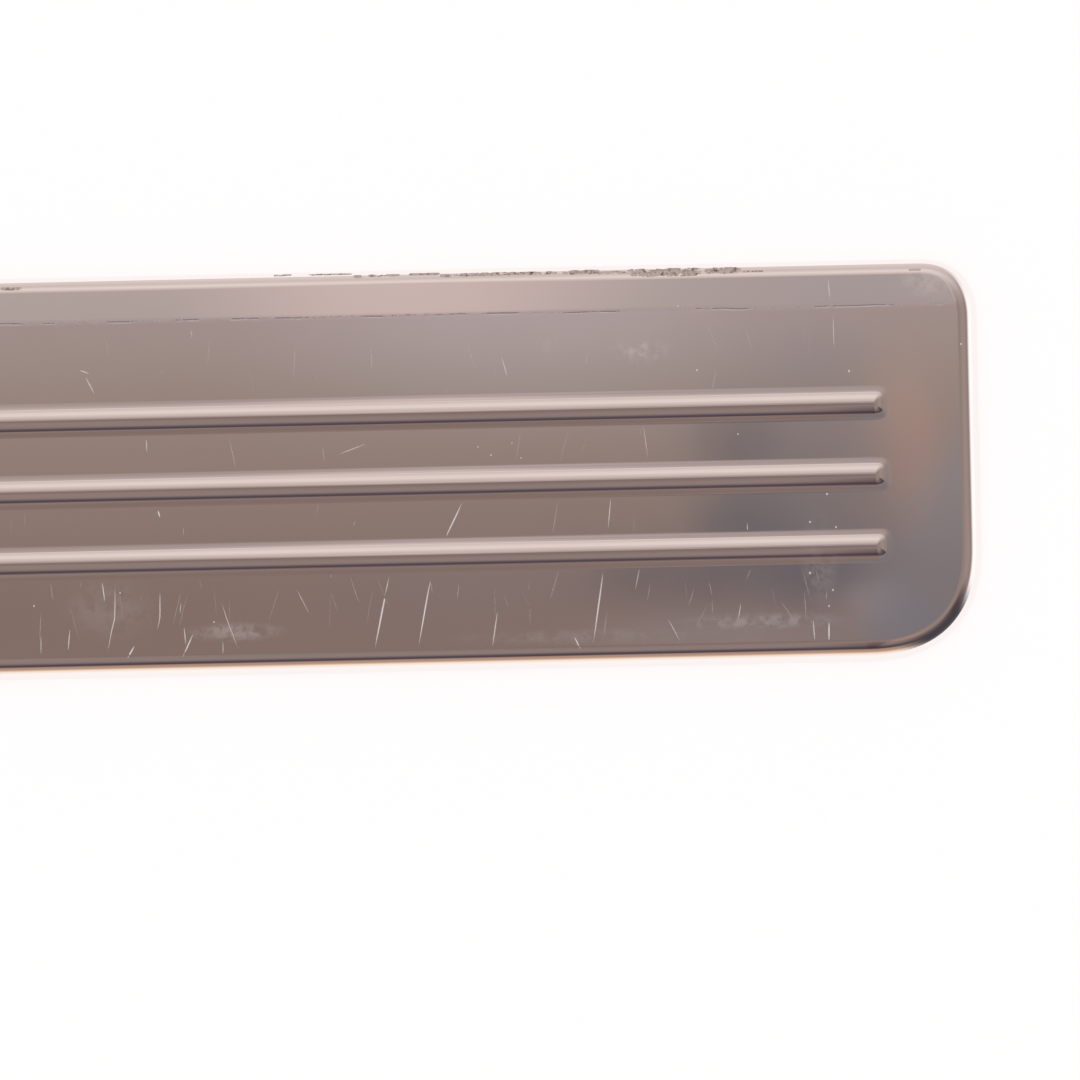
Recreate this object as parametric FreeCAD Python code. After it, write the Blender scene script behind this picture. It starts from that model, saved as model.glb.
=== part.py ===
"""Car door sill plate: a stainless steel strip pressed from one sheet, with foam tape beneath.

The plate covers the painted sill in a car's door opening, where shoes would scuff it.
It is a shallow upside-down tray of even thickness. Its deck carries long raised beads,
its rim is rolled down all round, and its inboard margin, where the door seal rests,
slopes away a little from a soft crease. Two strips of foam tape hold it to the sill.

Frame: millimetres. +X runs along the sill, +Y points into the car, +Z points up.
The origin is at the middle of the plate, on the plane that the rim stands on.
"""

import FreeCAD, Part

import math
import os

# Plate blank and section
plate_length = 480.0
plate_width = 56.6
sheet_thickness = 0.6
roll_radius = 3.2              # outside radius of the rolled rim at the ends and outboard
inboard_roll_radius = 2.3      # the rim is rolled tighter beside the seal
lip_height = 0.4               # straight edge left below the roll
outboard_corner_radius = 17.0  # plan radius of the two corners on the outdoor side
inboard_corner_radius = 8.8    # plan radius of the two corners beside the seal

# Seal margin along the inboard side
seal_margin_width = 6.5        # from the inboard edge to the crease
seal_margin_slope = 2.2        # degrees below the deck
crease_radius = 24.0           # outside radius of the soft bend at the crease

# Raised beads
bead_count = 3
bead_pitch = 10.0
bead_width = 3.2               # across both feet
bead_height = 0.4
bead_foot_radius = 0.3         # hollow curve where a bead leaves the deck
bead_row_offset = -1.9         # middle of the beads from the middle of the plate
bead_end_margin = 15.2         # from the plate's end to the centre of a bead's round end

# Foam tape strips
tape_side_gap = 0.5            # left free beside the rolled rim, the beads and the crease
tape_end_gap = 22.0            # from the plate's end to the end of a strip

# Length that a cutting tool reaches past the part
overshoot = 2.0

# Distance within which two places count as the same
touching = 0.01

plate_height = lip_height + roll_radius


def point(x, y, z):
    """A point of the model, in millimetres."""
    return FreeCAD.Vector(x, y, z)


def arc_about(centre_y, centre_z, radius, start_angle, end_angle):
    """An arc in the plane X = 0, by its centre and its angles in degrees from +Y towards +Z."""
    def on_circle(angle):
        turn = math.radians(angle)
        return point(0, centre_y + radius * math.cos(turn), centre_z + radius * math.sin(turn))

    middle_angle = (start_angle + end_angle) / 2
    return Part.Arc(on_circle(start_angle), on_circle(middle_angle), on_circle(end_angle)).toShape()


def closed_face(edges, corners):
    """A flat face from edges already made, closed by straight lines through the given corners."""
    lines = [Part.LineSegment(a, b).toShape() for a, b in zip(corners, corners[1:])]
    return Part.Face(Part.Wire(Part.__sortEdges__(edges + lines)))


def plan_outline(inset):
    """The plate's outline seen from above, moved inwards by inset, as a face on Z = 0."""
    half_length = plate_length / 2 - inset
    half_width = plate_width / 2 - inset
    outboard = outboard_corner_radius - inset
    inboard = inboard_corner_radius - inset
    corners = [  # each corner's signs in X and Y and its radius, anticlockwise from above
        (1, -1, outboard),
        (1, 1, inboard),
        (-1, 1, inboard),
        (-1, -1, outboard),
    ]
    arcs = []
    for side_x, side_y, radius in corners:
        centre = point(side_x * (half_length - radius), side_y * (half_width - radius), 0)
        diagonal = radius / math.sqrt(2)
        arcs.append(Part.Arc(
            centre + point(side_x * radius, 0, 0),
            centre + point(side_x * diagonal, side_y * diagonal, 0),
            centre + point(0, side_y * radius, 0),
        ).toShape())
    on_end, on_side = [], []
    for arc in arcs:
        on_end.append(arc.valueAt(arc.FirstParameter))
        on_side.append(arc.valueAt(arc.LastParameter))
    lines = [
        Part.LineSegment(on_end[0], on_end[1]).toShape(),
        Part.LineSegment(on_side[1], on_side[2]).toShape(),
        Part.LineSegment(on_end[2], on_end[3]).toShape(),
        Part.LineSegment(on_side[3], on_side[0]).toShape(),
    ]
    return Part.Face(Part.Wire(Part.__sortEdges__(arcs + lines)))


def deck_section(inset, bottom):
    """The section across the sill: level deck, soft crease and sloping seal margin."""
    deck = plate_height - inset
    slope = math.radians(seal_margin_slope)
    radius = crease_radius - inset
    crease_y = plate_width / 2 - seal_margin_width
    bend_start_y = crease_y - crease_radius * math.tan(slope / 2)
    bend = arc_about(bend_start_y, deck - radius, radius, 90, 90 - seal_margin_slope)
    bend_end = point(0, bend_start_y + radius * math.sin(slope), deck - radius * (1 - math.cos(slope)))
    reach_y = plate_width / 2 + overshoot
    return closed_face([bend], [
        bend_end,
        point(0, reach_y, bend_end.z - (reach_y - bend_end.y) * math.tan(slope)),
        point(0, reach_y, bottom),
        point(0, -reach_y, bottom),
        point(0, -reach_y, deck),
        point(0, bend_start_y, deck),
    ])


def tray_block(inset, bottom):
    """A solid whose top and sides are the plate's skin, moved inwards by inset."""
    reach = plate_length / 2 + overshoot
    section = deck_section(inset, bottom)
    section.translate(point(-reach, 0, 0))
    bar = section.extrude(point(2 * reach, 0, 0))
    outline = plan_outline(inset)
    outline.translate(point(0, 0, bottom))
    column = outline.extrude(point(0, 0, plate_height + overshoot))
    return rolled(column.common(bar).removeSplitter().Solids[0], inset)


def rolled(block, inset):
    """The block with its rim rolled. Each straight edge has its radius and the corners lead over."""
    document = FreeCAD.newDocument("rim")
    plain = document.addObject("Part::Feature", "plain_block")
    plain.Shape = block
    rim = document.addObject("Part::Fillet", "rolled_rim")
    rim.Base = plain
    straight_edges = []
    for number, edge in enumerate(plain.Shape.Edges, start=1):
        middle = edge.BoundBox.Center
        on_side = abs(abs(middle.y) - (plate_width / 2 - inset)) < touching
        on_end = abs(abs(middle.x) - (plate_length / 2 - inset)) < touching
        if middle.z > deck_edge_level(inset) and (on_side or on_end):
            is_inboard = on_side and middle.y > 0
            radius = (inboard_roll_radius if is_inboard else roll_radius) - inset
            straight_edges.append((number, radius, radius))
    rim.Edges = straight_edges
    document.recompute()
    return rim.Shape.Solids[0]


def deck_edge_level(inset):
    """A level just below the lowest point of the deck, to tell its rim from the edges below."""
    drop = (seal_margin_width + crease_radius) * math.tan(math.radians(seal_margin_slope))
    return plate_height - inset - drop - lip_height / 2


def bead_angle():
    """Steepest slope of a bead's flank in radians, where its crest meets its foot."""
    return 2 * math.atan(bead_height / (bead_width / 2))


def half_bead_face(inset):
    """Half of a bead's section, from its middle to its foot, for the skin moved in by inset."""
    deck = plate_height - inset
    slope = bead_angle()
    steepest = math.degrees(slope)
    both_radii = bead_width / 2 / math.sin(slope)
    crest_radius = both_radii - bead_foot_radius - inset
    foot_radius = bead_foot_radius + inset
    top = deck + bead_height
    root = deck - sheet_thickness / 2
    crest = arc_about(0, top - crest_radius, crest_radius, 90, 90 - steepest)
    foot = arc_about(bead_width / 2, deck + foot_radius, foot_radius, 270, 270 - steepest)
    return closed_face([crest, foot], [
        point(0, bead_width / 2, deck),
        point(0, bead_width / 2, root),
        point(0, 0, root),
        point(0, 0, top),
    ])


def bead_form(inset, centre_y):
    """One long bead with round ends, standing on the skin moved in by inset."""
    half_run = plate_length / 2 - bead_end_margin
    half = half_bead_face(inset)
    other_half = half.mirror(point(0, 0, 0), point(0, 1, 0))
    run = Part.Compound([half, other_half])
    run.translate(point(-half_run, 0, 0))
    sides = [face.extrude(point(2 * half_run, 0, 0)) for face in run.Faces]
    round_end = half.revolve(point(0, 0, 0), point(0, 0, 1), 180)
    left_end = round_end.translated(point(-half_run, 0, 0))
    right_end = round_end.rotated(point(0, 0, 0), point(0, 0, 1), 180).translated(point(half_run, 0, 0))
    bead = sides[0].multiFuse([sides[1], left_end, right_end]).removeSplitter()
    return bead.translated(point(0, centre_y, 0))


def bead_centres():
    """The Y position of each bead, outboard first."""
    first = bead_row_offset - bead_pitch * (bead_count - 1) / 2
    return [first + bead_pitch * number for number in range(bead_count)]


def skin_block(inset, bottom):
    """The rolled tray block with its beads, for the skin moved inwards by inset."""
    beads = [bead_form(inset, centre_y) for centre_y in bead_centres()]
    return tray_block(inset, bottom).multiFuse(beads).removeSplitter().Solids[0]


def sill_plate():
    """The pressed sheet: everything between its outer skin and the same skin one thickness in."""
    outside = skin_block(0.0, 0.0)
    inside = skin_block(sheet_thickness, -overshoot)
    return outside.cut(inside).Solids[0]


def foam_tape(low_y, high_y):
    """One strip of foam tape that fills the depth between the plate and the sill."""
    length = plate_length - 2 * tape_end_gap
    depth = plate_height - sheet_thickness
    strip = Part.makeBox(length, high_y - low_y, depth)
    return strip.translated(point(-length / 2, low_y, 0))


def tape_outboard():
    """The strip between the outboard roll and the first bead."""
    low_y = -plate_width / 2 + roll_radius + tape_side_gap
    high_y = bead_centres()[0] - bead_width / 2 - tape_side_gap
    return foam_tape(low_y, high_y)


def tape_inboard():
    """The strip between the last bead and the crease."""
    low_y = bead_centres()[-1] + bead_width / 2 + tape_side_gap
    high_y = plate_width / 2 - seal_margin_width - tape_side_gap
    return foam_tape(low_y, high_y)


pieces = {
    "sill_plate": sill_plate(),
    "foam_tape_outboard": tape_outboard(),
    "foam_tape_inboard": tape_inboard(),
}

os.makedirs("parts", exist_ok=True)
for name, shape in pieces.items():
    shape.exportStep(f"parts/{name}.step")
    print(name, "valid", shape.isValid(), "faces", len(shape.Faces), "volume mm3", round(shape.Volume, 1))
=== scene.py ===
# %% [markdown]
# # A car door sill plate in bright stainless steel
#
# The plate lies in a car's door opening and takes the scuffs of shoes. It is one long strip of
# bright rolled stainless steel, pressed in one stroke into a very shallow upside-down tray: three
# raised beads along the deck, a rim rolled down all round, and a narrow margin on the inboard side
# that slopes away from a soft crease. Two strips of foam tape under it hold it to the painted sill.
#
# A mirror-like metal shows mostly what stands round it, so this lesson spends its effort in two
# places: on a mesh whose curves are exactly right, and on surroundings that are worth mirroring.

import math
import random

import bpy
import numpy as np
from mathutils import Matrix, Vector, noise
from mathutils.geometry import delaunay_2d_cdt


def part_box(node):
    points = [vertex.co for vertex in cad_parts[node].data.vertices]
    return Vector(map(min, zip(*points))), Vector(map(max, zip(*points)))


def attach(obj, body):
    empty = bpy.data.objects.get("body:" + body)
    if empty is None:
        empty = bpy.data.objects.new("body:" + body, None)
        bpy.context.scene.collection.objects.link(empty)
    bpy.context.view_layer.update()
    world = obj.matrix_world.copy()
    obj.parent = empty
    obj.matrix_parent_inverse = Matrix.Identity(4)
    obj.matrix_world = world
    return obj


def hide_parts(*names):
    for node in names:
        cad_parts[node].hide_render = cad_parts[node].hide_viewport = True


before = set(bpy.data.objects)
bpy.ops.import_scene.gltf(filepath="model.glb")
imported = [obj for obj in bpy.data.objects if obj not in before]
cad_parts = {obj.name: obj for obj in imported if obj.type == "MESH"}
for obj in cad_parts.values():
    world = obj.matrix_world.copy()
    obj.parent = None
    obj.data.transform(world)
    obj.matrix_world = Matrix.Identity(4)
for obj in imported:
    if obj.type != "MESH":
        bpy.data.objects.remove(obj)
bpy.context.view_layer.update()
MM = 0.001

# %% [markdown]
# ## Colours and nodes
#
# Colours are written as sRGB hex values, as a paint card gives them, and Blender's shaders want
# them linear. One function does that. Another adds a node, sets it up and wires it in one call, so
# that a material reads from top to bottom like a recipe.


# %% Two small helpers
def linear(hex_value):
    """The linear RGB of an sRGB hex value such as 'C8C0BC'."""
    channels = [int(hex_value[i:i + 2], 16) / 255 for i in (0, 2, 4)]
    return [c / 12.92 if c <= 0.04045 else ((c + 0.055) / 1.055) ** 2.4 for c in channels]


def add_node(tree, kind, inputs=None, **settings):
    """Adds a node with its settings. Each input gets a value, or a link from another node's output."""
    node = tree.nodes.new(kind)
    for name, value in settings.items():
        setattr(node, name, value)
    for socket, source in (inputs or {}).items():
        if isinstance(source, bpy.types.NodeSocket):
            tree.links.new(source, node.inputs[socket])
        else:
            node.inputs[socket].default_value = source
    return node


# %% [markdown]
# ## The camera
#
# The plate is seen from straight above, through a long lens that flattens it. The picture shows
# only the right-hand end: the plate runs out of the frame on the left. The lens follows from two
# sizes, the distance and the width that the picture covers, and the small roll makes the long
# edges climb to the right.

# %% Look straight down on the right-hand end
scene = bpy.context.scene
scene.view_settings.view_transform = "Standard"

image_pixels = 1080
pixels_per_mm = 7.085
camera_distance = 600.0                # mm above the rim, where the plate is widest
camera_roll = math.radians(1.25)
plate_end_x = 240.0
plate_end_pixel = 982.8                # column of the plate's right-hand end
middle_line_row = 480.0                # row of the plate's middle line at the picture's left edge

picture_width = image_pixels / pixels_per_mm
half_pixels = image_pixels / 2
centre_row_offset = (half_pixels - middle_line_row) / pixels_per_mm
middle_line_rise = half_pixels / pixels_per_mm * math.tan(camera_roll)
camera_y = -(centre_row_offset + middle_line_rise) * math.cos(camera_roll)
end_offset = (plate_end_pixel - half_pixels) / pixels_per_mm
camera_x = plate_end_x - end_offset / math.cos(camera_roll) - camera_y * math.tan(camera_roll)

camera_data = bpy.data.cameras.new("long_lens")
camera_data.sensor_width = 36.0
camera_data.lens = camera_data.sensor_width * camera_distance / picture_width
camera_data.clip_start = 0.05
camera_data.clip_end = 20.0
camera = bpy.data.objects.new("camera", camera_data)
scene.collection.objects.link(camera)
deck_level = 3.6
rim_level = 0.2
camera.location = (camera_x * MM, camera_y * MM, (camera_distance + rim_level) * MM)
camera.rotation_euler = (0.0, 0.0, -camera_roll)
scene.camera = camera
print("lens", round(camera_data.lens, 1), "mm, camera over", round(camera_x, 2), round(camera_y, 2))


def deck_point(column, row):
    """The place on the deck, in mm, that the camera sees at a pixel of the 1080-pixel picture."""
    nearer = 1 - (deck_level - rim_level) / camera_distance
    right = (column - half_pixels) / pixels_per_mm * nearer
    up = (half_pixels - row) / pixels_per_mm * nearer
    x = camera_x + right * math.cos(camera_roll) + up * math.sin(camera_roll)
    y = camera_y - right * math.sin(camera_roll) + up * math.cos(camera_roll)
    return x, y


# %% [markdown]
# ## The table
#
# The plate rests on a white table, lit until it is pure white. A table that only glows would lose
# the plate's shadow, and one that is only lit would take more lamps than the steel can bear, so
# the two are mixed: most of its white is its own, and the rest is diffuse and darkens close to the
# metal, where the thin contact shadow belongs.

# %% A white table that keeps a contact shadow
table_half = 4.0
table_mesh = bpy.data.meshes.new("white_table")
table_corners = [(-1, -1), (1, -1), (1, 1), (-1, 1)]
table_level = -0.02 * MM
table_points = [(x * table_half, y * table_half, table_level) for x, y in table_corners]
table_mesh.from_pydata(table_points, [], [(0, 1, 2, 3)])
table = bpy.data.objects.new("white_table", table_mesh)
scene.collection.objects.link(table)

paper_white = "FFFCFC"
glow_share = 0.87
table_material = bpy.data.materials.new("white_card")
table_material.use_nodes = True
tree = table_material.node_tree
tree.nodes.clear()
glow = add_node(tree, "ShaderNodeEmission", {"Color": (*linear(paper_white), 1.0), "Strength": glow_share})
card = add_node(tree, "ShaderNodeBsdfDiffuse", {"Color": (0.2, 0.19, 0.19, 1.0)})
lit_card = add_node(tree, "ShaderNodeAddShader", {0: glow.outputs[0], 1: card.outputs[0]})
plain_card = add_node(tree, "ShaderNodeBsdfDiffuse", {"Color": (0.8, 0.78, 0.78, 1.0)})
path = add_node(tree, "ShaderNodeLightPath")
sees_card = path.outputs["Is Camera Ray"]
for kind_of_ray in ("Is Glossy Ray", "Is Transmission Ray"):
    inputs = {0: sees_card, 1: path.outputs[kind_of_ray]}
    sees_card = add_node(tree, "ShaderNodeMath", inputs, operation="MAXIMUM").outputs[0]
card_mix = add_node(
    tree, "ShaderNodeMixShader", {0: sees_card, 1: plain_card.outputs[0], 2: lit_card.outputs[0]}
)
add_node(tree, "ShaderNodeOutputMaterial", {"Surface": card_mix.outputs[0]})
table_mesh.materials.append(table_material)

# %% [markdown]
# ## What the steel mirrors
#
# Polished steel has hardly any look of its own. The deck lies level and mirrors the ceiling right
# above it, which is dim. The flanks of the beads and the rolled rim mirror everything from there
# down to the horizon: a bright wall on the inboard side, dark furniture and then a warm window
# line on the outboard side, and a white screen past the right-hand end.
#
# The world's shader draws those surroundings by direction alone. Two angles place a direction: how
# far it leans across the sill, and how far along it. Each side has a ramp of tones from the zenith
# down. The tones are written as they look in the steel, and a helper divides the steel's own colour
# out of them again.

# %% Tones round the plate, from the zenith down
steel_hex = "FAF5F3"
ramp_ceiling = 2.0                     # ramp colours are kept under one and scaled up by this


def mirrored(hex_value):
    """The radiance that shows as this sRGB colour in the steel, as a ramp colour."""
    wanted = linear(hex_value)
    metal = linear(steel_hex)
    return [min(1.0, w / m / ramp_ceiling) for w, m in zip(wanted, metal)] + [1.0]


side_tones = {  # degrees from the zenith and the colour there
    "inboard": [
        (0, "87746D"), (0.4, "8B7870"), (1.3, "917D76"), (2.2, "97867E"), (2.6, "9D8C86"), (3, "A28F8C"),
        (5, "A5928F"), (7, "AA9B97"), (9, "B8A6A1"), (12, "C4B1AC"), (20, "D0BDB8"), (28, "E0CEC9"),
        (35, "E0CEC9"), (41, "DAC8C3"), (46, "D3C1BC"), (51, "CEBCB7"), (57, "CCBAB5"), (64, "D2C0BB"),
        (76, "D8C6C2"), (90, "DACAC6"), (112, "E4DAD6"), (135, "F6F0EE"), (180, "F6F0EE"),
    ],
    "outboard": [
        (0, "87746D"), (0.4, "816C66"), (1.2, "836F68"), (4, "806B65"), (10, "86736E"), (20, "8C7A75"),
        (30, "8A7875"), (35, "7A6A6A"), (39, "62565A"), (44, "50464C"), (48, "4C4048"), (51, "6E5854"),
        (54, "A88878"), (58, "AC8C7A"), (64, "B08E7E"), (68, "C4A28F"),
        (73, "DEC0AC"), (78, "F6E0CE"), (85, "FCEADC"), (100, "F8EAE0"), (120, "F6ECEA"), (180, "F6ECEA"),
    ],
    "right_end": [
        (0, "94817A"), (20, "8E7C76"), (34, "9A8782"), (46, "988680"), (57, "8E7A77"), (61, "9C8884"),
        (65, "C8B8B6"), (69, "F2E8E4"), (74, "FEFDFA"), (180, "FEFDFA"),
    ],
    "left_end": [
        (0, "94817A"), (28, "A08C87"), (48, "A39490"), (60, "C3B4B0"), (75, "E4D8D4"), (90, "EFE6E2"),
        (180, "EFE6E2"),
    ],
    "outboard_corners": [
        (0, "847472"), (8, "887672"), (15, "8E7C74"), (20, "947E74"), (26, "8E7A72"), (33, "746462"),
        (42, "564C50"), (53, "464147"), (70, "444046"), (84, "5A5254"), (92, "8C827E"), (98, "D0C6C2"),
        (180, "FCF6F4"),
    ],
}

# %% Two angles and a ramp for each side
world = bpy.data.worlds.new("studio")
scene.world = world
world.cycles.sampling_method = "NONE"  # the steel finds its reflections by itself
world.use_nodes = True
tree = world.node_tree
tree.nodes.clear()
direction = add_node(tree, "ShaderNodeTexCoord").outputs["Generated"]
axes = add_node(tree, "ShaderNodeSeparateXYZ", {0: direction})


def calculate(operation, *values):
    """A calculator node. Its values are numbers or links, and its result can be linked on."""
    return add_node(tree, "ShaderNodeMath", dict(enumerate(values)), operation=operation).outputs[0]


along = calculate("ABSOLUTE", axes.outputs["X"])
across = calculate("ABSOLUTE", axes.outputs["Y"])
lean_along = calculate("ARCTAN2", along, axes.outputs["Z"])
lean_across = calculate("ARCTAN2", across, axes.outputs["Z"])
lean_any = calculate("ARCCOSINE", axes.outputs["Z"])
side_leans = {
    "inboard": lean_across, "outboard": lean_across, "right_end": lean_along, "left_end": lean_along,
    "outboard_corners": lean_any,
}
side_colours = {}
for side, tones in side_tones.items():
    share_of_turn = calculate("DIVIDE", side_leans[side], math.pi)
    ramp = add_node(tree, "ShaderNodeValToRGB", {0: share_of_turn}, name=side)
    stops = ramp.color_ramp.elements
    while len(stops) < len(tones):
        stops.new(0.5)
    for stop, (degrees, tone) in zip(stops, tones):
        stop.position = degrees / 180
        stop.color = mirrored(tone)
    side_colours[side] = ramp.outputs["Color"]

# %% [markdown]
# The sides are blended by compass direction. Close to the zenith the ends don't count, so that the
# whole deck mirrors one ceiling. The two outboard corners have a ramp of their own: a dark thing
# stands there.

# %% Blend the sides by compass direction


def blend(share, first, second, kind="MIX"):
    """Blends two colours by a share from zero to one."""
    inputs = {0: share, 6: first, 7: second}
    return add_node(tree, "ShaderNodeMix", inputs, data_type="RGBA", blend_type=kind).outputs[2]


def smooth_step(value, low, high):
    """A soft switch: zero below low, one above high."""
    inputs = {"Value": value, "From Min": low, "From Max": high}
    return add_node(tree, "ShaderNodeMapRange", inputs, interpolation_type="SMOOTHSTEP").outputs[0]


both_squared = calculate("ADD", calculate("MULTIPLY", along, along), calculate("MULTIPLY", across, across))
along_share = calculate("DIVIDE", calculate("MULTIPLY", along, along), both_squared)
end_share = calculate("MULTIPLY", along_share, smooth_step(lean_along, math.radians(8), math.radians(16)))
is_inboard = calculate("GREATER_THAN", axes.outputs["Y"], 0.0)
is_right = calculate("GREATER_THAN", axes.outputs["X"], 0.0)
sides = blend(is_inboard, side_colours["outboard"], side_colours["inboard"])
ends = blend(is_right, side_colours["left_end"], side_colours["right_end"])
surroundings = blend(end_share, sides, ends)
diagonal = calculate("DIVIDE", calculate("MULTIPLY", along, across), both_squared)
corner_share = calculate("MULTIPLY", smooth_step(diagonal, 0.2, 0.46), calculate("SUBTRACT", 1.0, is_inboard))
corner_share = calculate("MULTIPLY", corner_share, smooth_step(lean_any, math.radians(7), math.radians(11)))
surroundings = blend(corner_share, surroundings, side_colours["outboard_corners"])

# %% [markdown]
# The ceiling itself isn't even. Lamps, beams and dark things hang there as soft shapes, and a
# level mirror shows them all over the deck. Each shape is an ellipse that multiplies the tone behind
# it. Its place and size are degrees from the zenith, towards the right-hand end and towards the
# inboard side. The last three hang low: they darken the outboard flanks and the ends of the beads
# near the right-hand end, and warm one stretch of the outboard corner.

# %% Soft shapes on the ceiling
ceiling_shapes = [  # place, half sizes, soft share of the radius, and the red, green and blue factors
    ((-0.2, 3.2), (5.0, 2.6), 1.0, (1.2, 1.27, 1.36)),
    ((-1.7, 7.6), (3.6, 3.6), 0.9, (1.38, 1.31, 1.32)),
    ((3.8, 0.4), (1.25, 1.9), 0.5, (0.78, 0.87, 0.98)),
    ((2.66, 1.3), (0.85, 0.7), 0.8, (0.53, 0.61, 0.73)),
    ((2.7, 0.25), (0.95, 0.65), 0.8, (0.58, 0.7, 0.84)),
    ((2.6, -0.5), (3.0, 0.62), 0.7, (0.68, 0.78, 0.92)),
    ((2.4, -1.35), (2.8, 0.4), 0.9, (1.25, 1.4, 1.55)),
    ((4.4, -0.85), (0.7, 0.45), 0.9, (1.35, 1.45, 1.5)),
    ((4.9, -1.2), (0.7, 0.4), 0.9, (0.8, 0.95, 1.12)),
    ((7.6, -3.2), (3.64, 5.55), 0.08, (0.9, 1.08, 1.25)),
    ((4.95, 1.2), (0.65, 1.7), 0.8, (1.25, 1.12, 1.06)),
    ((3.7, 2.4), (1.1, 0.7), 0.9, (0.88, 0.95, 1.05)),
    ((4.2, 7.8), (3.4, 2.6), 0.9, (0.87, 0.89, 0.93)),
    ((-0.9, -0.6), (2.6, 0.9), 1.0, (0.98, 1.05, 1.12)),
    ((5.3, -29.0), (2.0, 22.0), 0.8, (0.52, 0.47, 0.52)),
    ((33.4, -15.6), (16.0, 11.0), 0.9, (0.6, 0.55, 0.55)),
    ((9.2, -17.3), (5.0, 4.5), 0.9, (1.4, 1.18, 1.05)),
]


def vector_maths(operation, *values):
    """A calculator node for vectors. Its values are vectors or links."""
    return add_node(tree, "ShaderNodeVectorMath", dict(enumerate(values)), operation=operation)


def oval_distance(place, middle, half_sizes):
    """How far a place lies from an oval's middle: one on its outline."""
    shifted = vector_maths("SUBTRACT", place, (*middle, 0)).outputs[0]
    scaled = vector_maths("MULTIPLY", shifted, (1 / half_sizes[0], 1 / half_sizes[1], 0)).outputs[0]
    return vector_maths("LENGTH", scaled).outputs["Value"]


flat_place = vector_maths("MULTIPLY", direction, (math.degrees(1),) * 3).outputs[0]
for place, half_sizes, softness, factors in ceiling_shapes:
    radius = oval_distance(flat_place, place, half_sizes)
    share = calculate("SUBTRACT", 1.0, smooth_step(radius, 1 - softness, 1.0))
    surroundings = blend(share, surroundings, blend(1.0, surroundings, (*factors, 1.0), "MULTIPLY"))

room_light = add_node(tree, "ShaderNodeBackground", {"Color": surroundings, "Strength": ramp_ceiling})
even_light = add_node(tree, "ShaderNodeBackground", {"Color": (0.8, 0.78, 0.78, 1.0), "Strength": 1.0})
seen_white = add_node(tree, "ShaderNodeBackground", {"Color": (*linear(paper_white), 1.0), "Strength": 1.0})
path = add_node(tree, "ShaderNodeLightPath")
world_surface = room_light.outputs[0]
for kind_of_ray, background in (("Is Diffuse Ray", even_light), ("Is Camera Ray", seen_white)):
    inputs = {0: path.outputs[kind_of_ray], 1: world_surface, 2: background.outputs[0]}
    world_surface = add_node(tree, "ShaderNodeMixShader", inputs).outputs[0]
add_node(tree, "ShaderNodeOutputWorld", {"Surface": world_surface})
print(len(tree.nodes), "nodes in the world's shader")

# %% [markdown]
# ## The pressed sheet
#
# A press draws the strip between two tools, and the steel keeps its thickness: wherever the top
# skin curves with a radius, the underside curves about the same centre with one sheet thickness
# less or more. The mesh is worked out the same way. Every vertex comes with its exact normal, so
# that the mirror images slide over the curves with no facets, however few the faces are.
#
# The overall sizes come from the frame. The rest are the sizes of the pressing tool.

# %% Sizes of the pressing, in millimetres
lowest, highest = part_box("sill_plate")
plate_length = (highest.x - lowest.x) / MM
plate_width = (highest.y - lowest.y) / MM
sheet_thickness = 0.6
roll_radius = 3.2
inboard_roll_radius = 2.3
outboard_corner_radius = 17.0
inboard_corner_radius = 8.8
seal_margin_width = 6.5
seal_margin_slope = math.radians(2.2)
crease_radius = 24.0
bead_pitch = 10.0
bead_width = 3.2
bead_height = 0.4
bead_foot_radius = 0.3
bead_row_offset = -1.9
bead_end_margin = 15.2
deck_height = (highest.z - lowest.z) / MM - bead_height
bend_start = plate_width / 2 - seal_margin_width - crease_radius * math.tan(seal_margin_slope / 2)
bead_lines = [bead_row_offset + bead_pitch * step for step in (-1, 0, 1)]
bead_half_run = plate_length / 2 - bead_end_margin
print("deck", round(deck_height, 2), "mm above the sill, bend starts at", round(bend_start, 2))


def skin_level(y, depth):
    """Level and slope, at a place across the plate, of the surface a given depth under the top skin."""
    radius = crease_radius - depth
    past = y - bend_start
    if past <= 0:
        return deck_height - depth, 0.0
    if past < radius * math.sin(seal_margin_slope):
        turn = math.asin(past / radius)
        return deck_height - crease_radius + radius * math.cos(turn), turn
    bend_end_level = deck_height - crease_radius + radius * math.cos(seal_margin_slope)
    run = past - radius * math.sin(seal_margin_slope)
    return bend_end_level - run * math.tan(seal_margin_slope), seal_margin_slope


# %% [markdown]
# ### Stations round the rim
#
# The rolled rim is what a ball would leave that rolls round inside the outline while it touches
# both the wall and the deck. A station is one place of that ball: its centre, and the direction in
# which the wall faces. The outboard corners are twice as large as the inboard ones, and all four are
# a little squarer than arcs: such a line starts and ends its turn softly. Where the soft bend of the
# crease runs out into the inboard corners, a station stands exactly at each of its steps, so that
# deck and rim share their vertices there.

# %% Where the rolling ball stands
corner_steps = 40
corner_squareness = 2.46               # two would be a quarter circle
crease_turns = [seal_margin_slope * step / 4 for step in range(5)]


def ball_radius(side_y, wall):
    """The ball shrinks while it rolls round an inboard corner, from the end to the inboard side."""
    if side_y < 0:
        return roll_radius
    turned = math.atan2(wall[1], abs(wall[0])) / (math.pi / 2)
    share = min(max((turned - 0.25) / 0.75, 0.0), 1.0)
    return roll_radius + (inboard_roll_radius - roll_radius) * share * share * (3 - 2 * share)


def on_square_corner(radius, squareness, wall):
    """The point of a rounded corner, from its centre, whose wall faces the given direction."""
    shares = [abs(part) ** (1 / (squareness - 1)) for part in wall]
    size = sum(share ** squareness for share in shares) ** (1 / squareness)
    return [math.copysign(radius * share / size, part) for share, part in zip(shares, wall)]


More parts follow.
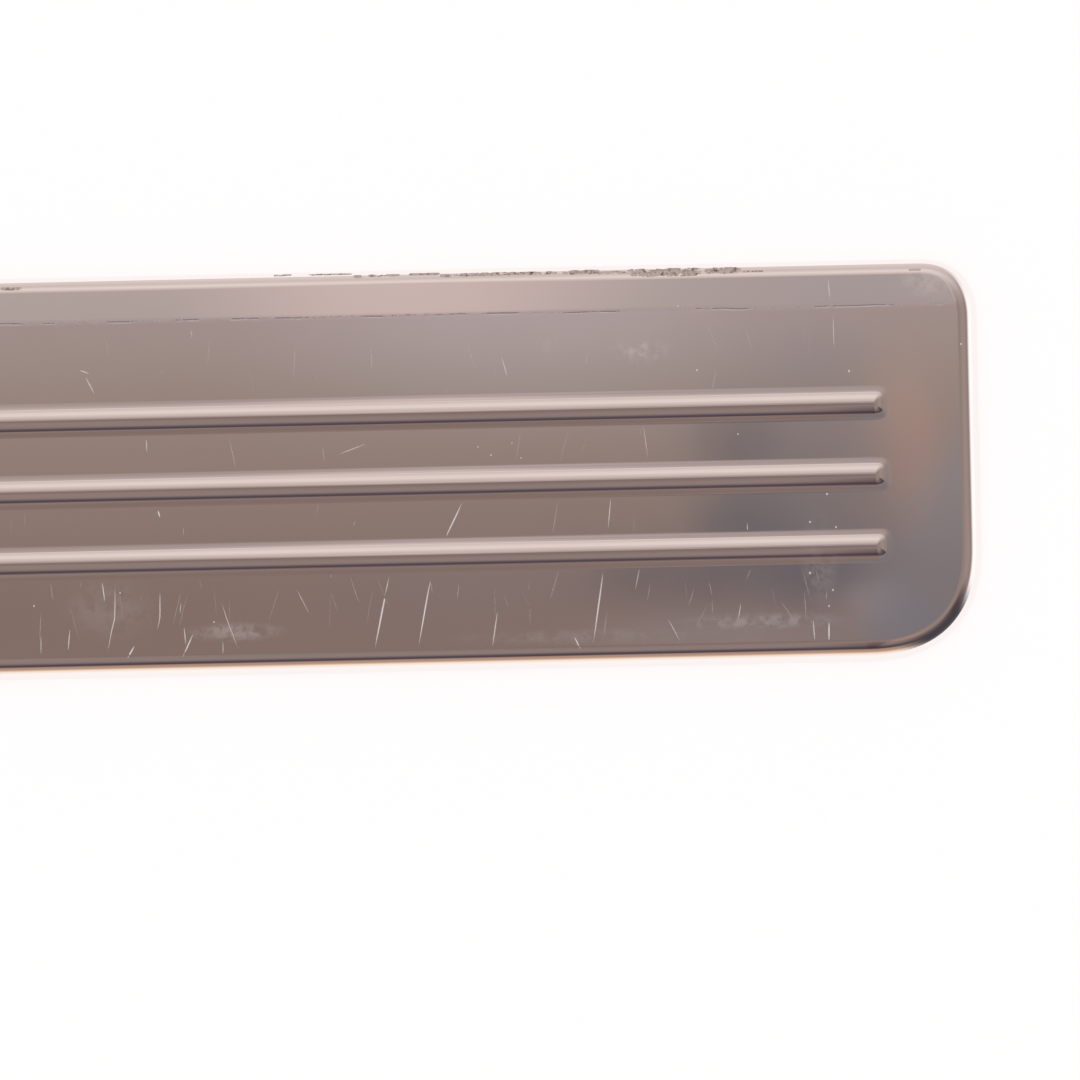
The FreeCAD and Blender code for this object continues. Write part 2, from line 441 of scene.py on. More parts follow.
def station(corner, angle):
    """The ball's centre in plan, its radius and the wall's direction, at an angle round a corner."""
    side_x, side_y, radius = corner
    wall = (math.cos(angle), math.sin(angle))
    ball = ball_radius(side_y, wall)
    reach_x, reach_y = on_square_corner(radius, corner_squareness, wall)
    centre_x = side_x * (plate_length / 2 - radius) + reach_x - ball * wall[0]
    centre_y = side_y * (plate_width / 2 - radius) + reach_y - ball * wall[1]
    return centre_x, centre_y, ball, wall


def angle_at_crease(corner, turn):
    """The angle at which the ball rolls over one line of the soft bend, by halving the quarter turn."""
    low, high = 0.0, math.pi / 2
    for _ in range(50):
        angle = (low + high) / 2
        _, centre_y, ball, _ = station(corner, angle)
        if centre_y < bend_start + (crease_radius - ball) * math.sin(turn):
            low = angle
        else:
            high = angle
    return angle


def rim_stations():
    """The ball's places round the rim, anticlockwise from above, with the step of the crease or None."""
    corners = [(1, -1, outboard_corner_radius), (1, 1, inboard_corner_radius),
               (-1, 1, inboard_corner_radius), (-1, -1, outboard_corner_radius)]
    stations = []
    for number, corner in enumerate(corners):
        side_x, side_y, _ = corner
        first_angle = -90 + 90 * number
        angles = []
        for step in range(corner_steps + 1):
            angles.append((math.radians(first_angle + 90 * step / corner_steps), None))
        if side_y > 0:
            right_corner = (1, 1, inboard_corner_radius)
            for step, turn in enumerate(crease_turns):
                angle = angle_at_crease(right_corner, turn)
                angles.append((angle if side_x > 0 else math.pi - angle, step))
        for angle, step in sorted(angles, key=lambda pair: pair[0]):
            stations.append((*station(corner, angle), step))
    return stations


stations = rim_stations()
print(len(stations), "stations round the rim")


# %% [markdown]
# ### A notebook for the mesh
#
# The sheet is written down as points with normals, and faces between them. Each corner of a face
# keeps its own normal, because the cut edge at the bottom of the rim is sharp while everything
# above it is smooth.

# %% Write points, rings and faces
class Sheet:
    """Points, normals and faces of the sheet while it is drawn, in millimetres."""

    def __init__(self):
        self.points = []
        self.normals = []
        self.faces = []
        self.corner_normals = []
        self.marks = {}                # scratch values of the points that have one

    def add_point(self, point, normal):
        """Notes a point with its normal, and returns its number."""
        self.points.append(point)
        self.normals.append(normal)
        return len(self.points) - 1

    def add_face(self, numbers, facing_up=True, sharp_normal=None):
        """Notes a face. Numbers run anticlockwise as seen from above the skin."""
        ordered = list(numbers) if facing_up else list(reversed(numbers))
        self.faces.append(ordered)
        for number in ordered:
            self.corner_normals.append(sharp_normal or self.normals[number])

    def bridge(self, inner_ring, outer_ring, facing_up=True):
        """Closes the gap between two rings of equal count, the inner one given first."""
        count = len(inner_ring)
        for here in range(count):
            after = (here + 1) % count
            corners = [inner_ring[here], outer_ring[here], outer_ring[after], inner_ring[after]]
            self.add_face(corners, facing_up)


sheet = Sheet()


def roll_rings(inset, steps=22):
    """Rings of the rolled rim from the deck's edge to the cut edge, for the top skin or the underside."""
    side = 1 if inset == 0 else -1
    rings = []
    for step in range(steps + 1):
        ring = []
        for centre_x, centre_y, ball, wall, _ in stations:
            radius = ball - inset
            centre_level, slope = skin_level(centre_y, ball)
            top = Vector((0.0, math.sin(slope), math.cos(slope)))
            facing = top.slerp(Vector((wall[0], wall[1], 0.0)), step / steps)
            point = Vector((centre_x, centre_y, centre_level)) + facing * radius
            ring.append(sheet.add_point(tuple(point), tuple(facing * side)))
        rings.append(ring)
    bottom = []
    for centre_x, centre_y, ball, wall, _ in stations:
        point = (centre_x + wall[0] * (ball - inset), centre_y + wall[1] * (ball - inset), 0.0)
        bottom.append(sheet.add_point(point, (wall[0] * side, wall[1] * side, 0.0)))
    rings.append(bottom)
    for inner_ring, outer_ring in zip(rings, rings[1:]):
        sheet.bridge(inner_ring, outer_ring, facing_up=inset == 0)
    return rings


# %% [markdown]
# ### The beads
#
# A bead stiffens the strip and gives the shoe an edge to grip. Its crest is one arc, a tighter
# hollow arc leads back to the deck, and beyond it the press leaves a faint hollow along the sides.
# The ends are the same section turned about the end's centre, and squarer than half circles. The
# rings of the mesh follow that: each is a long oval round the bead's middle line, and the slope of
# the skin is what sets its distance. Where an oval reaches further out, the slope is gentler.

# %% Raise a bead
bead_slope = 2 * math.atan(bead_height / (bead_width / 2))
bead_end_steps = 24
side_run_out_slope = math.radians(4.5)
end_run_out_slope = math.radians(0.6)
run_out_width = 0.9
bead_end_squareness = 3.4


def bead_profile(inset, run_out_slope, crest_steps=18, foot_steps=8, run_out_steps=6):
    """Distance from the middle line, level and slope of the skin, from the crest to the level deck."""
    both_radii = bead_width / 2 / math.sin(bead_slope)
    crest_radius = both_radii - bead_foot_radius
    places = []
    for step in range(crest_steps + 1):
        slope = bead_slope * step / crest_steps
        places.append((crest_radius * math.sin(slope), slope))
    for step in range(1, foot_steps + 1):
        slope = bead_slope + (run_out_slope - bead_slope) * step / foot_steps
        places.append((bead_width / 2 - bead_foot_radius * math.sin(slope), slope))
    start = places[-1][0]
    for step in range(1, run_out_steps + 1):
        share = step / run_out_steps
        places.append((start + run_out_width * share, run_out_slope * (1 - share)))
    drops = [0.0]
    for (near, near_slope), (far, far_slope) in zip(places, places[1:]):
        drops.append(drops[-1] + (far - near) * math.tan((near_slope + far_slope) / 2))
    fit = bead_height / drops[-1]
    rows = []
    for (distance, slope), drop in zip(places, drops):
        level = deck_height + bead_height - drop * fit
        tilt = math.atan(math.tan(slope) * fit)
        rows.append((distance - inset * math.sin(tilt), level - inset * math.cos(tilt), tilt))
    return rows


bead_reach = bead_profile(0.0, side_run_out_slope)[-1][0]
print("a bead and its run-out reach", round(bead_reach, 2), "mm from the bead's middle line")


def oval_directions():
    """Ends and directions round a long oval, anticlockwise: right-hand end first."""
    found = []
    for side, first_angle in ((1, -90), (-1, 90)):
        for step in range(bead_end_steps + 1):
            angle = math.radians(first_angle + 180 * step / bead_end_steps)
            found.append((side * bead_half_run, math.cos(angle), math.sin(angle)))
    return found


def raise_bead(line_y, inset):
    """Adds one bead to the sheet and returns the ring at its foot."""
    side = 1 if inset == 0 else -1
    side_rows = bead_profile(inset, side_run_out_slope)
    end_rows = bead_profile(inset, end_run_out_slope)
    crest_ends = {}
    for end in (1, -1):
        crest_end = (end * bead_half_run, line_y, side_rows[0][1])
        crest_ends[end] = sheet.add_point(crest_end, (0.0, 0.0, float(side)))
    directions = oval_directions()
    rings = []
    for side_row, end_row in zip(side_rows[1:], end_rows[1:]):
        ring = []
        for end_x, toward_x, toward_y in directions:
            end_share = toward_x * toward_x
            distance, level, slope = [a + (b - a) * end_share for a, b in zip(side_row, end_row)]
            out_x, out_y = on_square_corner(distance, bead_end_squareness, (toward_x, toward_y))
            spread = (out_x * toward_x + out_y * toward_y) / distance
            slope = math.atan(math.tan(slope) / spread)
            tilt = math.sin(slope) * side
            normal = (toward_x * tilt, toward_y * tilt, math.cos(slope) * side)
            ring.append(sheet.add_point((end_x + out_x, line_y + out_y, level), normal))
        rings.append(ring)
    first = rings[0]
    count = len(first)
    for here in range(count):
        after = (here + 1) % count
        ends = [crest_ends[1 if directions[number][0] > 0 else -1] for number in (here, after)]
        corners = [ends[0], first[here], first[after]] + ([ends[1]] if ends[0] != ends[1] else [])
        sheet.add_face(corners, facing_up=inset == 0)
    for inner_ring, outer_ring in zip(rings, rings[1:]):
        sheet.bridge(inner_ring, outer_ring, facing_up=inset == 0)
    return rings[-1]


# %% [markdown]
# ### Scratches on the deck
#
# Shoes drag grit across a sill plate, nearly always out or in, so most scratches run across it and
# crowd on the outboard side. Each is a bright hairline that starts fine, swells and dies away.
# Specks of dust and a few dark flecks of dirt lie between them. A texture can't aim a scratch, and a
# shader with a hundred aimed ones would be slow. So they are drawn into the deck's mesh, as slim
# spindles whose middle line carries a value that the steel's material reads: above zero for a
# scratch or dust, below zero for dirt. The faces stay exactly level: only the value differs.

# %% Scratches drawn one by one
marks = [  # pixels of a scratch's points in the picture, then its width in mm and its strength
    ([(102, 581), (105, 603)], 0.16, 0.7),
    ([(115, 581), (115, 617), (112, 629), (107, 656)], 0.18, 0.55),
    ([(160, 589), (160, 617), (157, 632)], 0.18, 0.55),
    ([(181, 601), (180, 615)], 0.14, 0.4),
    ([(221, 600), (227, 620), (239, 651)], 0.15, 0.45),
    ([(70, 628), (68, 652)], 0.16, 0.6),
    ([(41, 634), (41, 656)], 0.14, 0.45),
    ([(135, 645), (127, 659)], 0.24, 1.0),
    ([(194, 632), (182, 659)], 0.2, 0.8),
    ([(184, 626), (186, 646)], 0.16, 0.6),
    ([(223, 640), (223, 656)], 0.12, 0.5),
    ([(191, 329), (192, 338)], 0.14, 0.4),
    ([(79, 370), (90, 374)], 0.2, 0.5),
    ([(85, 376), (95, 395)], 0.22, 0.45),
    ([(501, 355), (508, 379)], 0.2, 0.4),
    ([(146, 438), (147, 453)], 0.16, 0.5),
    ([(337, 455), (368, 443)], 0.2, 0.35),
    ([(463, 501), (444, 541)], 0.22, 0.75),
    ([(390, 572), (382, 612), (374, 653)], 0.26, 0.7),
    ([(433, 569), (427, 598), (418, 650)], 0.22, 0.8),
    ([(331, 557), (331, 579)], 0.16, 0.7),
    ([(498, 608), (492, 650)], 0.2, 0.5),
    ([(296, 588), (310, 615)], 0.16, 0.3),
    ([(158, 510), (160, 518)], 0.24, 0.9),
    ([(611, 495), (608, 530)], 0.16, 0.5),
    ([(604, 566), (593, 646)], 0.22, 0.8),
    ([(643, 422), (648, 460)], 0.14, 0.3),
    ([(640, 566), (635, 591)], 0.14, 0.35),
    ([(828, 278), (830, 300)], 0.14, 0.5),
    ([(833, 312), (834, 350)], 0.14, 0.45),
    ([(574, 636), (581, 650)], 0.2, 0.7),
    ([(667, 617), (681, 643)], 0.16, 0.4),
    ([(741, 602), (738, 622)], 0.16, 0.45),
    ([(747, 522), (748, 536)], 0.14, 0.5),
    ([(813, 618), (815, 643)], 0.2, 0.5),
    ([(829, 620), (829, 643)], 0.24, 0.8),
]

# %% Turn a line into a spindle


class Scratch:
    """A slim spindle on the deck: points in mm, a half width and how bright its middle is."""

    def __init__(self, points, width, strength, steps=7):
        self.half_width = width / 2
        self.strength = strength
        line = np.array(points, float)
        lengths = np.concatenate([[0], np.cumsum(np.linalg.norm(np.diff(line, axis=0), axis=1))])
        places = np.linspace(0, lengths[-1], steps)
        self.line = np.stack([np.interp(places, lengths, line[:, axis]) for axis in (0, 1)], axis=1)
        self.shares = np.sin(np.linspace(0, math.pi, steps)) ** 0.6

    def outline(self):
        """Middle and edge points in plan, the edges that join them, and each point's value."""
        step = np.gradient(self.line, axis=0)
        across = np.stack([-step[:, 1], step[:, 0]], axis=1) / np.linalg.norm(step, axis=1)[:, None]
        offset = across * (self.half_width * np.maximum(self.shares, 0.0))[:, None]
        count = len(self.line)
        middle = list(range(count))
        left = [0] + [count + number for number in range(count - 2)] + [count - 1]
        right = [0] + [2 * count - 2 + number for number in range(count - 2)] + [count - 1]
        points = np.concatenate([self.line, self.line[1:-1] + offset[1:-1], self.line[1:-1] - offset[1:-1]])
        edges = [pair for chain in (middle, left, right) for pair in zip(chain, chain[1:])]
        values = np.zeros(len(points))
        values[:count] = self.strength * np.maximum(self.shares, 0.0)
        values[[0, count - 1]] = 0.0
        return points, edges, values


# %% Place scratches, dust and flecks, then scatter finer scratches
width_gain = 1.2                       # drawn as measured, the marks come out too faint
strength_gain = 1.4
scratches = []
for pixels, width, strength in marks:
    line = [deck_point(*pixel) for pixel in pixels]
    scratches.append(Scratch(line, width_gain * width, min(strength_gain * strength, 1.0)))
dust = [  # pixel and size in mm
    (34, 606, 0.3), (214, 622, 0.25), (120, 593, 0.3), (697, 370, 0.3), (849, 371, 0.35),
    (810, 573, 0.35), (829, 606, 0.3), (836, 527, 0.3), (810, 522, 0.3), (833, 590, 0.3),
    (961, 344, 0.3), (827, 494, 0.3), (738, 434, 0.25), (478, 447, 0.2), (491, 455, 0.25),
    (512, 443, 0.2), (521, 458, 0.2), (678, 306, 0.25),
]
for column, row, size in dust:
    x, y = deck_point(column, row)
    scratches.append(Scratch([(x - 0.1 * size, y - 0.6 * size), (x + 0.1 * size, y + 0.6 * size)], size, 1.0))
dark_flecks = [  # pixels of a dark fleck's points, width in mm and strength
    ([(311, 376), (317, 378)], 0.35, 0.9),
    ([(563, 313), (567, 312)], 0.3, 1.0),
    ([(312, 318), (316, 318)], 0.25, 1.0),
]
for pixels, width, strength in dark_flecks:
    scratches.append(Scratch([deck_point(*pixel) for pixel in pixels], width, -strength))
chance = random.Random(11)
edges_across = [-plate_width / 2 + roll_radius + 0.4]
for line_y in bead_lines:
    edges_across += [line_y - bead_width / 2 - 0.3, line_y + bead_width / 2 + 0.3]
edges_across.append(bend_start - 0.4)
free_strips = list(zip(edges_across[::2], edges_across[1::2]))
strip_shares = [0.62, 0.1, 0.1, 0.18]
hairline_count = 300
for _ in range(hairline_count):
    low_y, high_y = chance.choices(free_strips, strip_shares)[0]
    x = chance.uniform(-plate_length / 2 + 22, plate_length / 2 - 22)
    length = min(chance.uniform(1.0, 6.5), 0.9 * (high_y - low_y))
    y = chance.uniform(low_y, high_y - length)
    lean = chance.gauss(0, 0.22) * length
    width = chance.uniform(0.1, 0.18)
    scratches.append(Scratch([(x, y), (x + lean, y + length)], width, chance.uniform(0.08, 0.35)))
print(len(scratches), "scratches")

# %% [markdown]
# ### The deck between them
#
# The level deck is whatever is left inside the rim and round the beads. A constrained Delaunay
# triangulation fills it: it takes the rings, the lines of the crease and the outlines of the
# scratches, and returns triangles that keep to all of them. It fills the beads' ovals as well, and
# those triangles, whose middle lies within a bead's reach, are left out.


# %% Fill the deck
touching = 1e-6                        # mm within which two places count as the same


def fill_deck(rim_ring, foot_rings, inset, with_scratches):
    """Triangulates the deck between the rim and the beads, and adds it to the sheet."""
    up = 1 if inset == 0 else -1
    plan, edges, numbers, marked = [], [], [], {}

    def take_ring(ring):
        start = len(plan)
        plan.extend(Vector(sheet.points[number][:2]) for number in ring)
        numbers.extend(ring)
        edges.extend((start + here, start + (here + 1) % len(ring)) for here in range(len(ring)))

    take_ring(rim_ring)
    for step in range(len(crease_turns)):
        pair = [place for place, entry in enumerate(stations) if entry[4] == step]
        edges.append(tuple(pair))
    for ring in foot_rings:
        take_ring(ring)
    for scratch in scratches if with_scratches else []:
        points, own_edges, values = scratch.outline()
        start = len(plan)
        marked.update((start + number, value) for number, value in enumerate(values))
        plan.extend(Vector(point) for point in points)
        numbers.extend([None] * len(points))
        edges.extend((start + a, start + b) for a, b in own_edges)
    found, _, triangles, origins, _, _ = delaunay_2d_cdt(plan, edges, [], 1, 1e-5)
    known = []
    for place, origin in zip(found, origins):
        carried = [numbers[number] for number in origin if numbers[number] is not None]
        if carried:
            known.append(carried[0])
        else:
            level, slope = skin_level(place.y, inset)
            normal = (0.0, up * math.sin(slope), up * math.cos(slope))
            known.append(sheet.add_point((place.x, place.y, level), normal))
            sheet.marks[known[-1]] = sum(marked.get(number, 0.0) for number in origin)
    square = bead_end_squareness
    for triangle in triangles:
        middle = sum((found[number] for number in triangle), Vector((0, 0))) / 3
        run_x = max(abs(middle.x) - bead_half_run, 0)
        sizes = []
        for line_y in bead_lines:
            sizes.append((run_x ** square + abs(middle.y - line_y) ** square) ** (1 / square))
        if min(sizes) > bead_reach - touching:
            sheet.add_face([known[number] for number in triangle], facing_up=inset == 0)


# %% Top skin, underside and cut edge
top_rings = roll_rings(0.0)
top_feet = [raise_bead(line_y, 0.0) for line_y in bead_lines]
fill_deck(top_rings[0], top_feet, 0.0, with_scratches=True)
under_rings = roll_rings(sheet_thickness)
under_feet = [raise_bead(line_y, sheet_thickness) for line_y in bead_lines]
fill_deck(under_rings[0], under_feet, sheet_thickness, with_scratches=False)
rim_count = len(stations)
for here in range(rim_count):
    after = (here + 1) % rim_count
    corners = [top_rings[-1][here], under_rings[-1][here], under_rings[-1][after], top_rings[-1][after]]
    sheet.add_face(corners, facing_up=True, sharp_normal=(0.0, 0.0, -1.0))
print(len(sheet.points), "points and", len(sheet.faces), "faces in the sheet")

# %% Make the steel piece
plate_mesh = bpy.data.meshes.new("pressed_sheet")
plate_mesh.from_pydata([[value * MM for value in point] for point in sheet.points], [], sheet.faces)
plate_mesh.validate(verbose=True)
plate_mesh.shade_smooth()
plate_mesh.normals_split_custom_set(sheet.corner_normals)
marks_by_point = np.zeros(len(sheet.points), np.float32)
for number, value in sheet.marks.items():
    marks_by_point[number] = value
scratch_layer = plate_mesh.attributes.new("scratch", "FLOAT", "POINT")
scratch_layer.data.foreach_set("value", marks_by_point)
plate = bpy.data.objects.new("pressed_steel_plate", plate_mesh)
scene.collection.objects.link(plate)
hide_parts("sill_plate")
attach(plate, "root")

# %% [markdown]
# ## Dried grime on the inboard rim
#
# Water runs off the door seal and leaves mud and wax along the inboard rim, where no shoe wipes it
# away. It dries to a lumpy brown crust with thin tails. The crust is a mesh of its own: a grid laid
# over the rolled rim, raised along the rim's normal by a ragged noise, and cut away wherever the
# noise falls short. Its edges dip a little under the steel's skin, so no gap shows.

# %% Stretches of crust
grime_stretches = [  # columns from and to, pixels in from the edge, half height in pixels, mm thick
    (272, 292, 3.0, 1.0, 0.05), (306, 352, 3.2, 0.9, 0.05), (353, 362, 6.0, 1.6, 0.1),
    (368, 402, 5.5, 1.3, 0.07), (408, 440, 5.0, 1.3, 0.06), (440, 452, 7.0, 1.7, 0.1),
    (450, 560, 6.5, 1.8, 0.09), (560, 600, 6.5, 2.3, 0.15), (595, 628, 7.5, 1.5, 0.1),
    (626, 704, 8.6, 4.2, 0.22), (704, 742, 8.0, 3.2, 0.16), (740, 764, 9.5, 1.0, 0.07),
    (0, 22, 11.0, 1.5, 0.06), (908, 921, 11.5, 1.0, 0.05),
]
rim_edge_row = 278.0                   # row of the inboard edge at the picture's left side
rim_edge_fall = 0.0218                 # rows that the edge climbs per column
grain_along = 0.11                     # mm between the grid's columns
grain_across = 0.055                   # mm between its rows
ragged_spread = 1.15                   # the ragged edge eats this much of a stretch's height
sunk = 0.02                            # mm that the crust's edges dip under the skin
ball_line = plate_width / 2 - inboard_roll_radius
ball_level, margin_tilt = skin_level(ball_line, inboard_roll_radius)


def crust_height(x, y, middle_y, half, share, thickness):
    """How thick the crust is at a place, or less than nothing where there is none."""
    across_share = 1 - ((y - middle_y) / half) ** 2
    along_share = min(1.0, 6 * min(share, 1 - share) + 0.15)
    lumps = noise.fractal(Vector((x * 1.1, y * 2.6, 3.7)), 0.6, 2.1, 5)
    return thickness * (across_share * along_share * (0.75 + 1.0 * lumps) - 0.22)


def lay_grid(first_column, last_column, offset, half_rows, thickness):
    """A grid over one stretch of the rim: for each step, whether crust shows there, and the point."""
    ends = []
    for column in (first_column, last_column):
        ends.append(deck_point(column, rim_edge_row - rim_edge_fall * column + offset))
    (x_start, y_start), (x_end, y_end) = ends
    half = half_rows / pixels_per_mm * ragged_spread
    columns = max(4, int((x_end - x_start) / grain_along))
    rows = max(6, int(2 * half / grain_across))
    grid = {}
    for across_step in range(rows + 1):
        for along_step in range(columns + 1):
            share = along_step / columns
            x = x_start + (x_end - x_start) * share
            middle_y = y_start + (y_end - y_start) * share
            y = middle_y - half + 2 * half * across_step / rows
            height = crust_height(x, y, middle_y, half, share, thickness)
            sine = (y - ball_line) / inboard_roll_radius
            if not math.sin(margin_tilt) < sine < 0.97:
                continue
            cosine = math.sqrt(1 - sine * sine)
            room = (plate_width / 2 - sunk - y) / sine
            radius = inboard_roll_radius + max(-sunk, min(height, room))
            point = (x, ball_line + radius * sine, ball_level + radius * cosine)
            grid[along_step, across_step] = (height > 0, point)
    return grid, columns, rows


# %% Keep the faces where crust shows
crust_points, crust_faces = [], []
for stretch in grime_stretches:
    grid, columns, rows = lay_grid(*stretch)
    numbers = {}
    for along_step in range(columns):
        for across_step in range(rows):
            corners = [(along_step + a, across_step + b) for a, b in ((0, 0), (1, 0), (1, 1), (0, 1))]
            is_whole = all(corner in grid for corner in corners)
            if not is_whole or not any(grid[corner][0] for corner in corners):
                continue
            for corner in corners:
                if corner not in numbers:
                    numbers[corner] = len(crust_points)
                    crust_points.append([value * MM for value in grid[corner][1]])
            crust_faces.append([numbers[corner] for corner in corners])
crust_mesh = bpy.data.meshes.new("crust")
crust_mesh.from_pydata(crust_points, [], crust_faces)
crust_mesh.shade_smooth()
crust = bpy.data.objects.new("dried_grime", crust_mesh)
scene.collection.objects.link(crust)
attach(crust, "root")
print(len(crust_faces), "faces of crust")

# %% [markdown]
# Dried mud and wax is matt and lumpy: pale where it is thick, brown in its cracks. A fine noise
# picks between the two tones, with clods of about half a millimetre.

# %% Grime material
clod_size = 0.6                        # mm
grime = bpy.data.materials.new("dried_mud_and_wax")
grime.use_nodes = True
tree = grime.node_tree
tree.nodes.clear()
position = add_node(tree, "ShaderNodeTexCoord").outputs["Object"]
clod_settings = {"Vector": position, "Scale": 1 / (clod_size * MM), "Detail": 5.0, "Roughness": 0.7}
clods = add_node(tree, "ShaderNodeTexNoise", clod_settings)
clod_tones = add_node(tree, "ShaderNodeValToRGB", {0: clods.outputs[0]})
for place, tone in ((0.34, "5A4A44"), (0.52, "CDBBB2")):
    stop = clod_tones.color_ramp.elements[0 if place < 0.5 else 1]
    stop.position = place
    stop.color = (*linear(tone), 1.0)
surface = add_node(tree, "ShaderNodeBsdfPrincipled", {"Base Color": clod_tones.outputs[0], "Roughness": 0.8})
add_node(tree, "ShaderNodeOutputMaterial", {"Surface": surface.outputs[0]})
crust_mesh.materials.append(grime)

# %% [markdown]
# ## Bright rolled stainless steel
#
# The strip is cold rolled between polished rolls and annealed in clean gas, which leaves it bright
# like a mirror with a faint haze along the rolling direction. Years of shoes and wiping add to it:
# hairlines, a dull film in patches, smears, and grey dirt packed in the crease. A metal's colour
# lies in its reflection. The room's tones already hold the steel's grey, so the base colour is kept
# almost white, metallic is one and the roughness does the rest.

# %% Steel material
steel = bpy.data.materials.new("bright_rolled_stainless_steel")
steel.use_nodes = True
tree = steel.node_tree
tree.nodes.clear()
position = add_node(tree, "ShaderNodeTexCoord").outputs["Object"]
in_mm = vector_maths("MULTIPLY", position, (1 / MM,) * 3)
scratch_value = add_node(tree, "ShaderNodeAttribute", attribute_name="scratch", attribute_type="GEOMETRY")
film_noise = add_node(
    tree, "ShaderNodeTexNoise", {"Vector": in_mm.outputs[0], "Scale": 0.06, "Detail": 3.0, "Roughness": 0.55}
)
film = add_node(
    tree, "ShaderNodeMapRange",
    {"Value": film_noise.outputs[0], "From Min": 0.35, "From Max": 0.75, "To Min": 0.04, "To Max": 0.07},
)

# %% [markdown]
# Soles also leave scuffed patches, where a haze of scratches too fine to draw dulls the mirror. Each
# is a soft oval broken up by a ragged noise. Dulling means less metal and more roughness.

# %% Scuffed patches
scuffs = [  # pixel of the middle, half sizes in pixels, how dull
    ((640, 350), (42, 16), 0.24), ((236, 632), (60, 12), 0.14), ((760, 622), (110, 12), 0.14),
    ((610, 636), (200, 10), 0.07), ((110, 610), (60, 40), 0.05), ((548, 338), (18, 20), 0.16),
    ((930, 280), (40, 22), 0.12), ((820, 560), (24, 60), 0.05),
]
ragged = add_node(
    tree, "ShaderNodeTexNoise", {"Vector": in_mm.outputs[0], "Scale": 0.7, "Detail": 5.0, "Roughness": 0.65}
)
ragged_share = smooth_step(ragged.outputs[0], 0.36, 0.6)
# This value gathers scratches, dust and scuffs, and further down also the painted highlight beside the
# crease.
dull_and_bend_highlight = calculate("MAXIMUM", scratch_value.outputs["Fac"], 0.0)
for pixel, (half_columns, half_rows), strength in scuffs:
    half_sizes = (half_columns / pixels_per_mm, half_rows / pixels_per_mm)
    radius = oval_distance(in_mm.outputs[0], deck_point(*pixel), half_sizes)
    cloud = calculate("MULTIPLY", calculate("SUBTRACT", 1.0, smooth_step(radius, 0.2, 1.0)), ragged_share)
    dull_and_bend_highlight = calculate("MAXIMUM", dull_and_bend_highlight, calculate("MULTIPLY", cloud, strength))

# %% [markdown]
# Dirt packs into the crease, where a cloth slides over it. It is a thin dark line that wanders a
# little and breaks off often. Beside it runs a thin bright line, a painted highlight of the bend:
# the steel there is made dull and pale so that it shows bright. Both are bands round the crease's
# place across the plate, and stop short of the rim at each end.

# %% A dirt line along the crease, with a painted highlight beside it
place_in_mm = add_node(tree, "ShaderNodeSeparateXYZ", {0: in_mm.outputs[0]})
wander = add_node(
    tree, "ShaderNodeTexNoise", {"Vector": in_mm.outputs[0], "Scale": 0.12, "Detail": 3.0, "Roughness": 0.6}
)
patchy = add_node(
    tree, "ShaderNodeTexNoise", {"Vector": in_mm.outputs[0], "Scale": 0.35, "Detail": 6.0, "Roughness": 0.7}
)
crease_line = plate_width / 2 - seal_margin_width
sideways = calculate("MULTIPLY", calculate("SUBTRACT", wander.outputs[0], 0.5), 0.5)
wandered = calculate("ADD", place_in_mm.outputs["Y"], sideways)
from_crease = calculate("SUBTRACT", wandered, crease_line)
dirt_line = calculate("SUBTRACT", 1.0, smooth_step(calculate("ABSOLUTE", from_crease), 0.03, 0.16))
dirt_line = calculate("MULTIPLY", dirt_line, smooth_step(patchy.outputs[0], 0.4, 0.56))
from_middle = calculate("ABSOLUTE", place_in_mm.outputs["X"])
before_rim = calculate("SUBTRACT", 1.0, smooth_step(from_middle, plate_length / 2 - 7, plate_length / 2 - 4))
dirt_line = calculate("MULTIPLY", dirt_line, before_rim)
# Painted highlight of the sharp bend: a band beside the crease is dulled towards pale white, so it shows
# bright.
bend_highlight_line = calculate("ABSOLUTE", calculate("ADD", from_crease, 0.17))
bend_highlight_line = calculate("SUBTRACT", 1.0, smooth_step(bend_highlight_line, 0.02, 0.12))
bend_highlight_line = calculate("MULTIPLY", bend_highlight_line, smooth_step(patchy.outputs[0], 0.46, 0.6))
bend_highlight_line = calculate("MULTIPLY", bend_highlight_line, 0.3)
dull_and_bend_highlight = calculate("MAXIMUM", dull_and_bend_highlight, calculate("MULTIPLY", bend_highlight_line, before_rim))
fleck = calculate("MULTIPLY", scratch_value.outputs["Fac"], -1.0)
dirt = calculate("MAXIMUM", calculate("MULTIPLY", dirt_line, 0.85), fleck)
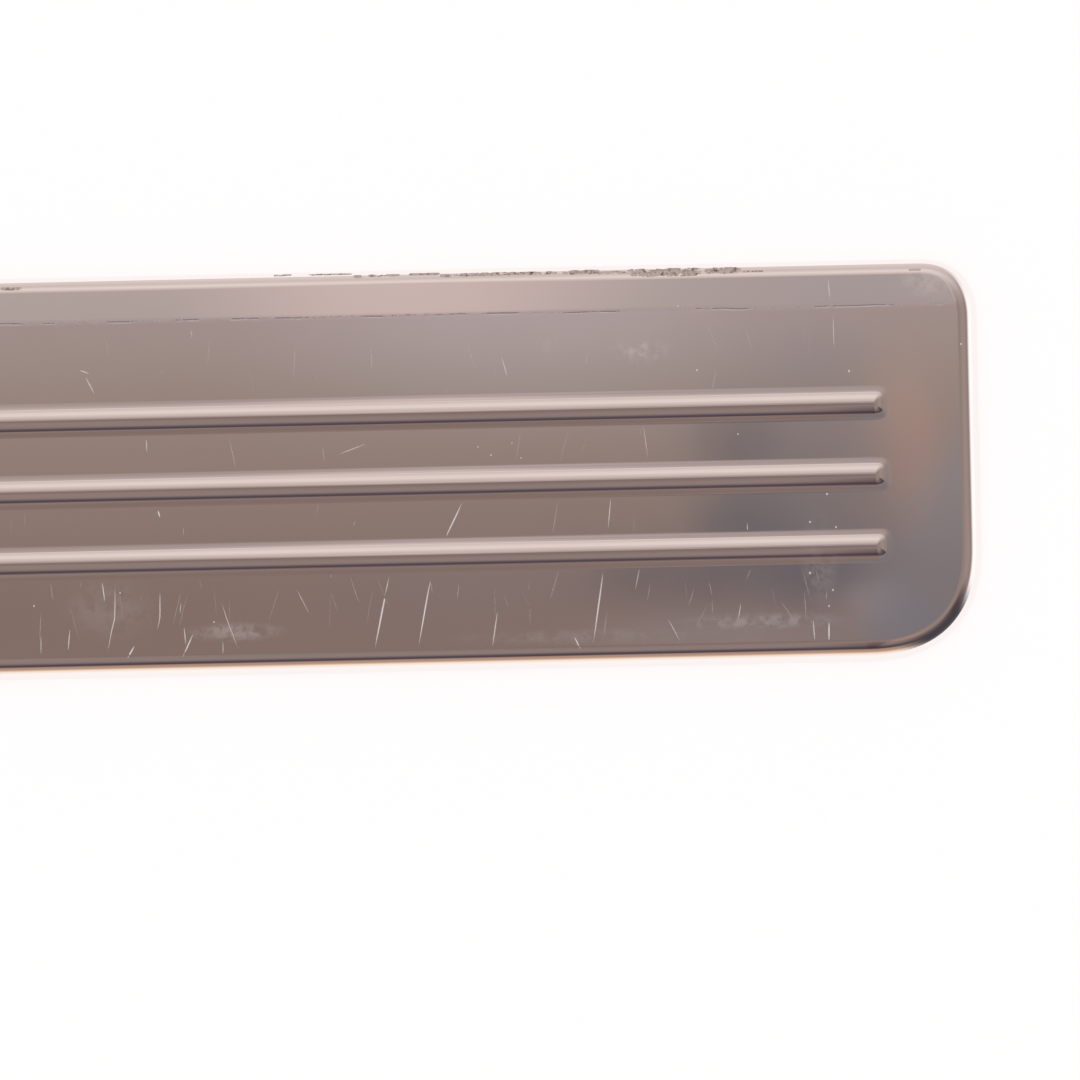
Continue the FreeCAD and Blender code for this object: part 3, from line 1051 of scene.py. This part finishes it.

# %% [markdown]
# One shader serves mirror, scuff, dirt and the painted highlight beside the crease. A scuff or that
# painted highlight takes away some of the metal, and dirt takes away all of it and brings its own
# brown.

# %% Mirror, scuff, dirt and painted highlight in one shader
base = blend(dirt, (*linear(steel_hex), 1.0), (*linear("6E5E56"), 1.0))
worst = calculate("MAXIMUM", dull_and_bend_highlight, dirt)
roughness = add_node(
    tree, "ShaderNodeMapRange",
    {"Value": worst, "From Min": 0.0, "From Max": 1.0, "To Min": film.outputs[0], "To Max": 0.7},
)
metallic = calculate("MULTIPLY", calculate("SUBTRACT", 1.0, dirt), calculate("SUBTRACT", 1.0, dull_and_bend_highlight))
surface = add_node(
    tree, "ShaderNodeBsdfPrincipled",
    {"Base Color": base, "Metallic": metallic, "Roughness": roughness.outputs[0]},
)
add_node(tree, "ShaderNodeOutputMaterial", {"Surface": surface.outputs[0]})
plate_mesh.materials.append(steel)

# %% [markdown]
# ## Foam tape
#
# The tape is closed-cell polyethylene foam with glue on both faces. Its cells are cut open at the
# sides of the strip and make fine pits, and painted shade darkens each pit towards its middle.
# Under the plate almost nothing of it is seen, but the part may be turned over.

# %% Foam material on both tapes
foam = bpy.data.materials.new("closed_cell_polyethylene_foam")
foam.use_nodes = True
tree = foam.node_tree
tree.nodes.clear()
cell_size = 0.35                       # mm, the width of one cell
position = add_node(tree, "ShaderNodeTexCoord").outputs["Object"]
cells = add_node(tree, "ShaderNodeTexVoronoi", {"Vector": position, "Scale": 1 / (cell_size * MM)})
# Painted shade: each cell is darker towards its middle, where its pit is deepest.
cell_colour_with_pit_shade = add_node(
    tree, "ShaderNodeMix",
    {0: cells.outputs["Distance"], 6: (*linear("1E1E20"), 1.0), 7: (*linear("45454A"), 1.0)},
    data_type="RGBA",
)
pit_depth = 0.1                        # mm
pits = add_node(
    tree, "ShaderNodeBump",
    {"Height": cells.outputs["Distance"], "Strength": 0.5, "Distance": pit_depth * MM},
)
surface = add_node(
    tree, "ShaderNodeBsdfPrincipled",
    {"Base Color": cell_colour_with_pit_shade.outputs[2], "Roughness": 0.9, "IOR": 1.5, "Normal": pits.outputs[0]},
)
add_node(tree, "ShaderNodeOutputMaterial", {"Surface": surface.outputs[0]})
for name in ("foam_tape_outboard", "foam_tape_inboard"):
    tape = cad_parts[name]
    tape.data.materials.clear()
    tape.data.materials.append(foam)
